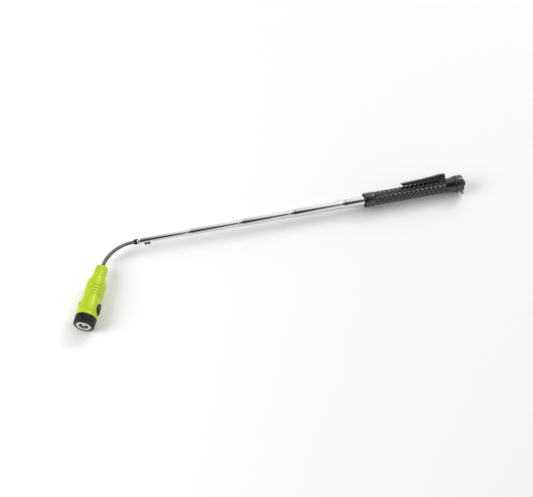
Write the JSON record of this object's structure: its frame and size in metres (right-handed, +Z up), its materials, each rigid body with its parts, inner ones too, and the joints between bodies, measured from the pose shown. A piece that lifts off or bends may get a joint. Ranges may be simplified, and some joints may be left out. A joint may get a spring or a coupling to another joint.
{
  "type": "telescoping magnetic pickup tool",
  "caption": "Telescoping pickup tool: knurled handle with pocket clip, chromed nesting tubes, flexible neck and a torch head with a ring magnet round its light.",
  "frame": {"origin": "centre of the butt boss's flat end, on the rod's axis", "axes": "+X out of the butt along the rod's axis, +Z up with the neck bent in the XY plane towards -Y"},
  "size_m": [0.4404, 0.1063, 0.0237],
  "materials": {
    "grip_black": "black anodised, satin, diamond knurled",
    "tube_chrome": "bright chrome plated tube",
    "lime_anodised": "lime anodised, satin",
    "bezel_black": "black anodised, satin",
    "black_plastic": "moulded black nylon",
    "rubber_black": "matt black rubber",
    "dark_steel": "blackened steel",
    "neck_steel": "nickel plated steel",
    "spring_steel": "plated spring wire",
    "bush_bronze": "phosphor bronze",
    "contact_brass": "bare brass",
    "battery_wrap": "plain shrink wrap",
    "insulation": "natural nylon",
    "board_green": "printed circuit board",
    "bare_aluminium": "turned bare aluminium",
    "phosphor_yellow": "yellow phosphor",
    "clear_lens": "clear moulded dome",
    "magnet_nickel": "nickel plated magnet"
  },
  "bodies": {
    "handle": {"grip_sleeve": "grip_black", "end_cap": "grip_black", "butt_boss": "black_plastic", "lanyard_eye": "dark_steel", "pocket_clip": "black_plastic", "clip_rivets": "dark_steel", "front_bush": "bush_bronze", "rear_bush": "bush_bronze", "tube_1": "tube_chrome"},
    "section_2": {"tube_2": "tube_chrome", "friction_bush_2": "bush_bronze"},
    "section_3": {"tube_3": "tube_chrome", "friction_bush_3": "bush_bronze"},
    "section_4": {"tube_4": "tube_chrome", "friction_bush_4": "bush_bronze"},
    "tip_bush": {"friction_bush_5": "bush_bronze"},
    "section_5": {"tube_5": "tube_chrome", "crimp_ring": "tube_chrome", "stop_nub": "rubber_black", "neck_ferrule": "dark_steel", "neck_root": "neck_steel"},
    "link_1": {"neck_link_1": "neck_steel"},
    "link_2": {"neck_link_2": "neck_steel"},
    "link_3": {"neck_link_3": "neck_steel"},
    "link_4": {"neck_link_4": "neck_steel"},
    "link_5": {"neck_link_5": "neck_steel"},
    "link_6": {"neck_link_6": "neck_steel"},
    "link_7": {"neck_link_7": "neck_steel"},
    "head": {"neck_anchor": "neck_steel", "tail_nut": "lime_anodised", "head_shell": "lime_anodised", "switch_frame": "black_plastic", "switch_contact": "contact_brass", "battery_cell": "battery_wrap", "battery_sleeve": "insulation", "rear_spring": "spring_steel", "front_contact": "contact_brass", "light_board": "board_green", "light_post": "bare_aluminium", "light_chip": "phosphor_yellow", "light_lens": "clear_lens"},
    "switch": {"switch_slider": "black_plastic"},
    "bezel_rise": {"bezel_washer": "rubber_black"},
    "bezel_group": {"bezel": "bezel_black", "magnet_ring": "magnet_nickel", "magnet_backing": "dark_steel", "magnet_liner": "black_plastic"}
  },
  "joints": [
    {"name": "tube_2_slide", "type": "slide", "parent": "handle", "child": "section_2", "axis": [1, 0, 0], "range_m": [0, 0.055]},
    {"name": "tube_3_slide", "type": "slide", "parent": "section_2", "child": "section_3", "axis": [1, 0, 0], "range_m": [0, 0.055]},
    {"name": "tube_4_slide", "type": "slide", "parent": "section_3", "child": "section_4", "axis": [1, 0, 0], "range_m": [0, 0.055]},
    {"name": "tube_5_slide", "type": "slide", "parent": "section_4", "child": "tip_bush", "axis": [1, 0, 0], "range_m": [0, 0.0385]},
    {"name": "tip_swivel", "type": "hinge", "parent": "tip_bush", "child": "section_5", "pos_m": [-0.2985, 0, 0], "axis": [1, 0, 0], "continuous": true},
    {"name": "neck_bend_1", "type": "hinge", "parent": "section_5", "child": "link_1", "pos_m": [-0.36943, 0, 0], "axis": [0, 0, 1], "range_deg": [-26.4, 9.6]},
    {"name": "neck_bend_2", "type": "hinge", "parent": "link_1", "child": "link_2", "pos_m": [-0.37521, -0.00085, 0], "axis": [0, 0, 1], "range_deg": [-26.4, 9.6]},
    {"name": "neck_bend_3", "type": "hinge", "parent": "link_2", "child": "link_3", "pos_m": [-0.38081, -0.00254, 0], "axis": [0, 0, 1], "range_deg": [-26.4, 9.6]},
    {"name": "neck_bend_4", "type": "hinge", "parent": "link_3", "child": "link_4", "pos_m": [-0.38611, -0.00504, 0], "axis": [0, 0, 1], "range_deg": [-26.4, 9.6]},
    {"name": "neck_bend_5", "type": "hinge", "parent": "link_4", "child": "link_5", "pos_m": [-0.39098, -0.00827, 0], "axis": [0, 0, 1], "range_deg": [-26.4, 9.6]},
    {"name": "neck_bend_6", "type": "hinge", "parent": "link_5", "child": "link_6", "pos_m": [-0.39533, -0.01219, 0], "axis": [0, 0, 1], "range_deg": [-26.4, 9.6]},
    {"name": "neck_bend_7", "type": "hinge", "parent": "link_6", "child": "link_7", "pos_m": [-0.39905, -0.0167, 0], "axis": [0, 0, 1], "range_deg": [-26.4, 9.6]},
    {"name": "neck_bend_8", "type": "hinge", "parent": "link_7", "child": "head", "pos_m": [-0.40209, -0.0217, 0], "axis": [0, 0, 1], "range_deg": [-26.4, 9.6]},
    {"name": "switch_slide", "type": "slide", "parent": "head", "child": "switch", "axis": [0.3875, 0.9219, 0], "range_m": [0, 0.0025]},
    {"name": "bezel_rise_slide", "type": "slide", "parent": "head", "child": "bezel_rise", "axis": [-0.3875, -0.9219, 0], "range_m": [0, 0.004]},
    {"name": "bezel_turn", "type": "hinge", "parent": "bezel_rise", "child": "bezel_group", "pos_m": [-0.43073, -0.08985, 0], "axis": [-0.3875, -0.9219, 0], "range_deg": [0, 1441]}
  ],
  "couplings": [
    {"joint": "bezel_turn", "follows": "bezel_rise_slide", "rad_per_m": 6283.2}
  ]
}
